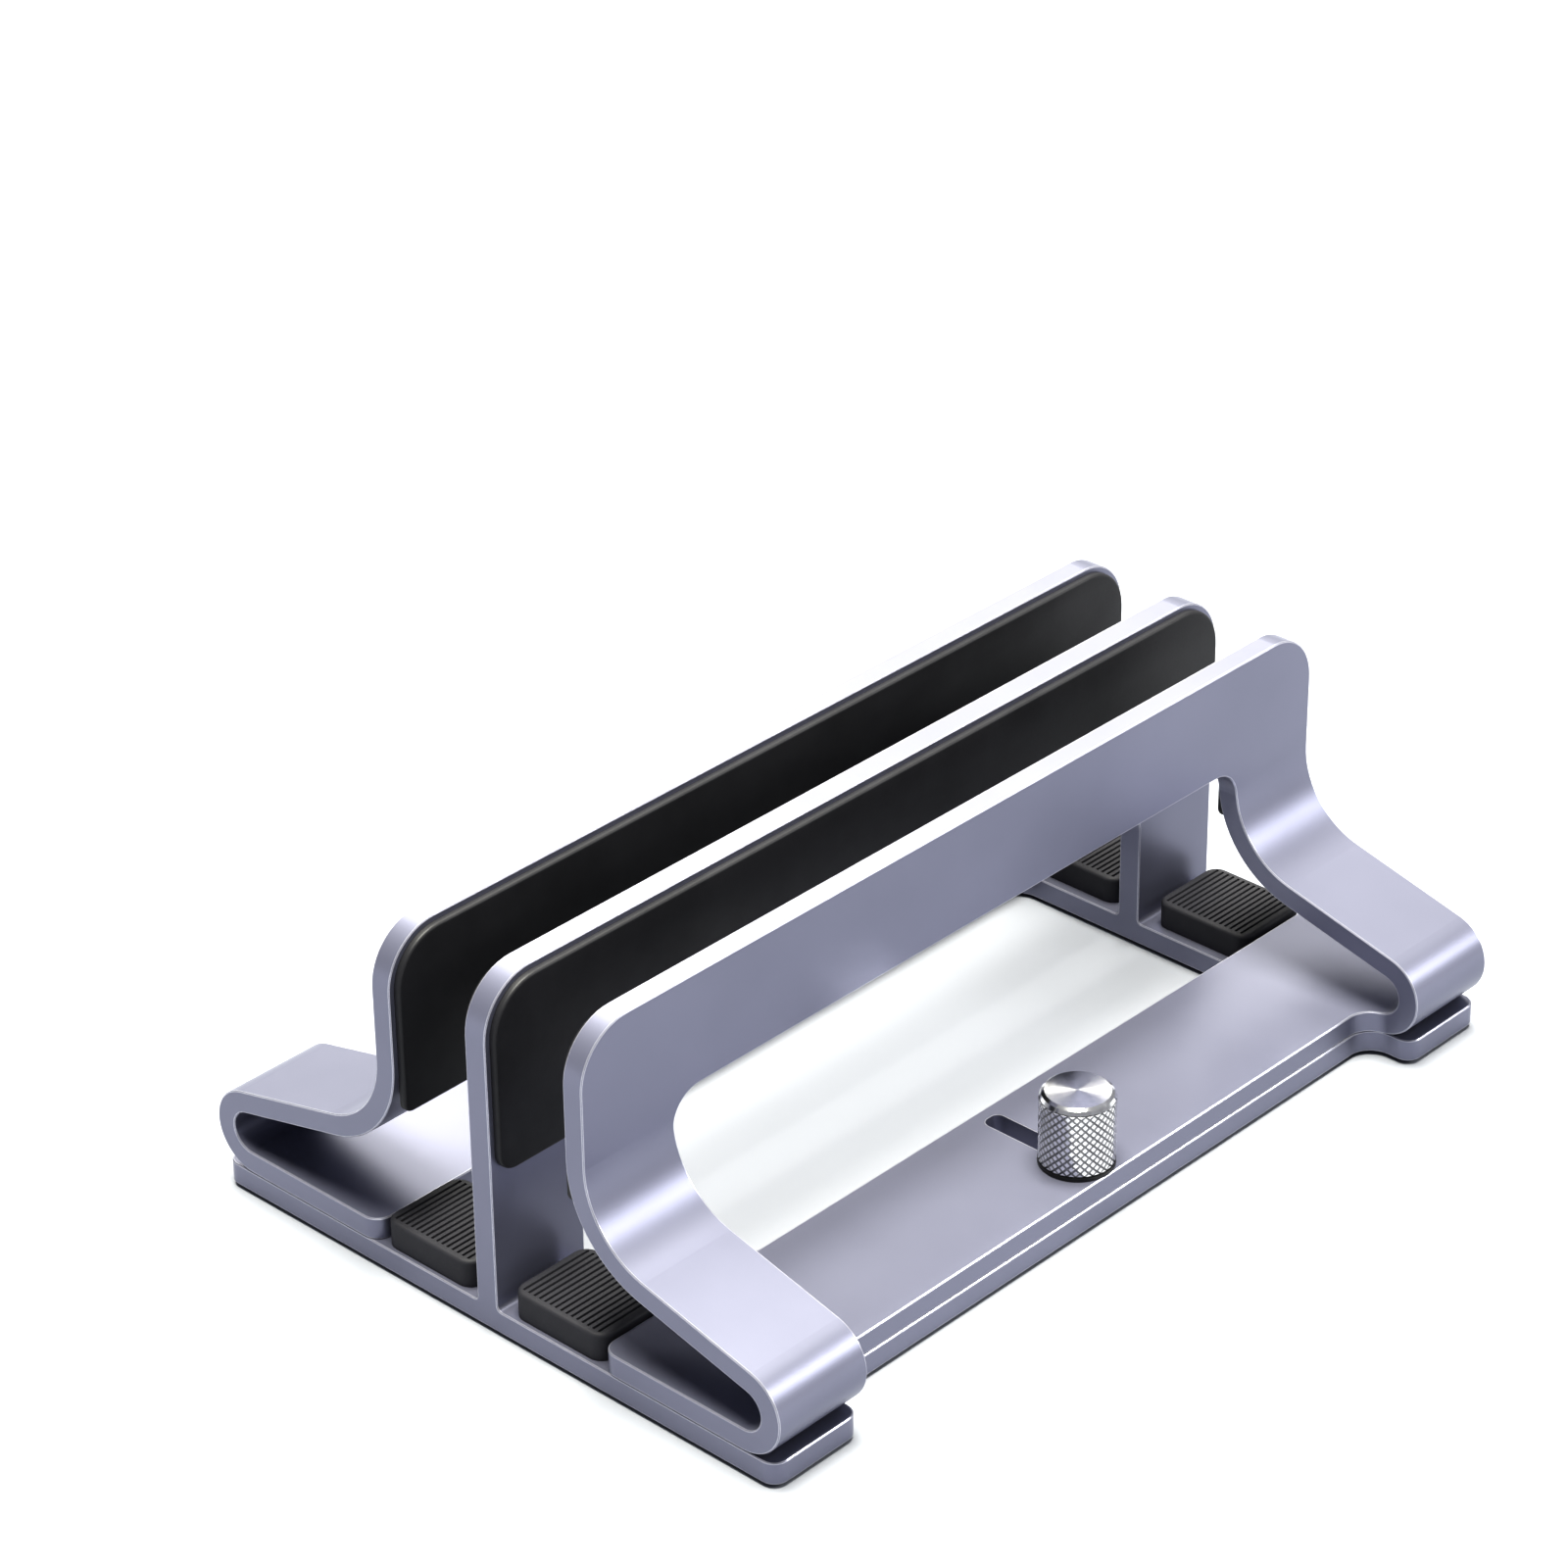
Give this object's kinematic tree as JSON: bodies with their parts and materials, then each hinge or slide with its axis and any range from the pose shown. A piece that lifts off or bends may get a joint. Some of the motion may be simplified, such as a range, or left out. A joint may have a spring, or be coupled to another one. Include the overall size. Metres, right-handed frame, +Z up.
{
  "type": "vertical laptop stand",
  "caption": "Desk stand that holds closed laptops upright in two padded slots, with folded metal brackets that slide out and lock with knurled thumb screws.",
  "frame": {"origin": "middle of the stand's footprint on the desk, under the feet", "axes": "+X across the slots, towards the right bracket; +Y along the walls, away from the near end; +Z up"},
  "size_m": [0.1424, 0.2, 0.0726],
  "materials": {
    "anodised_aluminium": "fine bead-blasted, anodised lavender grey, bright chamfers",
    "wall_pad_silicone": "smooth matt silicone",
    "rest_silicone": "matt ribbed silicone",
    "foot_silicone": "smooth matt silicone",
    "pin_steel": "ground steel",
    "knob_metal": "bright turned top, diamond knurled side",
    "stud_steel": "zinc plated thread",
    "washer_nylon": "black nylon"
  },
  "bodies": {
    "stand": {"base_frame": "anodised_aluminium", "left_centre_pad": "wall_pad_silicone", "right_centre_pad": "wall_pad_silicone", "front_left_rest_block": "rest_silicone", "front_right_rest_block": "rest_silicone", "rear_left_rest_block": "rest_silicone", "rear_right_rest_block": "rest_silicone", "front_left_foot": "foot_silicone", "front_right_foot": "foot_silicone", "rear_left_foot": "foot_silicone", "rear_right_foot": "foot_silicone"},
    "left_slider": {"left_bracket": "anodised_aluminium", "left_bracket_pad": "wall_pad_silicone", "front_left_guide_pin": "pin_steel", "rear_left_guide_pin": "pin_steel"},
    "left_clamp_washer": {"left_washer": "washer_nylon"},
    "left_clamp_knob": {"left_knob": "knob_metal", "left_stud": "stud_steel"},
    "right_slider": {"right_bracket": "anodised_aluminium", "right_bracket_pad": "wall_pad_silicone", "front_right_guide_pin": "pin_steel", "rear_right_guide_pin": "pin_steel"},
    "right_clamp_washer": {"right_washer": "washer_nylon"},
    "right_clamp_knob": {"right_knob": "knob_metal", "right_stud": "stud_steel"}
  },
  "joints": [
    {"name": "left_bracket_slide", "type": "slide", "parent": "stand", "child": "left_slider", "axis": [-1, 0, 0], "range_m": [0, 0.019]},
    {"name": "left_clamp_lift", "type": "slide", "parent": "stand", "child": "left_clamp_washer", "axis": [0, 0, 1], "range_m": [0, 0.00141]},
    {"name": "left_knob_turn", "type": "hinge", "parent": "left_clamp_washer", "child": "left_clamp_knob", "pos_m": [-0.0522, 0, 0.018], "axis": [0, 0, 1], "range_deg": [0, 720]},
    {"name": "right_bracket_slide", "type": "slide", "parent": "stand", "child": "right_slider", "axis": [1, 0, 0], "range_m": [0, 0.019]},
    {"name": "right_clamp_lift", "type": "slide", "parent": "stand", "child": "right_clamp_washer", "axis": [0, 0, 1], "range_m": [0, 0.00141]},
    {"name": "right_knob_turn", "type": "hinge", "parent": "right_clamp_washer", "child": "right_clamp_knob", "pos_m": [0.0522, 0, 0.018], "axis": [0, 0, 1], "range_deg": [0, 720]}
  ],
  "couplings": [
    {"joint": "left_clamp_lift", "follows": "left_knob_turn", "m_per_rad": 0.00011141},
    {"joint": "right_clamp_lift", "follows": "right_knob_turn", "m_per_rad": 0.00011141}
  ]
}
